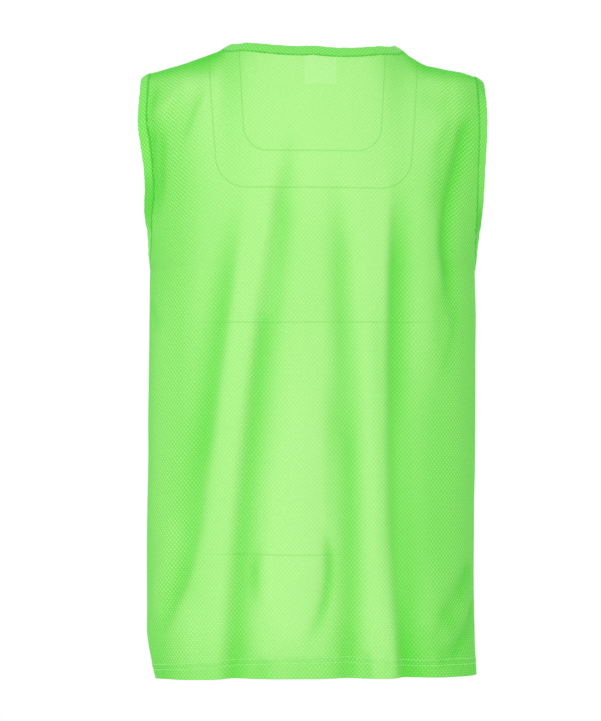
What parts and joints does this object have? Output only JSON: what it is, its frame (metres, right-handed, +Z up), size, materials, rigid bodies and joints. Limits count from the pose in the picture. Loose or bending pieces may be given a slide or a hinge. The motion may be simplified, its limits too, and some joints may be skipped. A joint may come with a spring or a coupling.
{
  "type": "sleeveless mesh training bib",
  "caption": "Loose sleeveless sports bib in dotted mesh, filled out as when worn, with a round bound neck, bound armholes and a straight twin-stitched hem.",
  "frame": {"origin": "midway between the two points where the shoulder seams meet the neck, where the bib rests on the shoulders of its wearer", "axes": "+Z up through the neck opening, +Y out of the front of the bib, so that the pictured back faces -Y, and +X to the right in the picture, which is the right side of the wearer"},
  "size_m": [0.4131, 0.2526, 0.7599],
  "materials": {
    "mesh_cloth": "matt knitted polyester mesh in fluorescent green",
    "bound_cloth": "matt flat-knit polyester binding in fluorescent green",
    "label_cloth": "smooth white woven label seen through the green mesh"
  },
  "bodies": {
    "root": {"back_panel": "mesh_cloth", "front_panel": "mesh_cloth", "neck_binding": "bound_cloth", "armhole_binding_left": "bound_cloth", "armhole_binding_right": "bound_cloth", "neck_label": "label_cloth"}
  },
  "joints": []
}
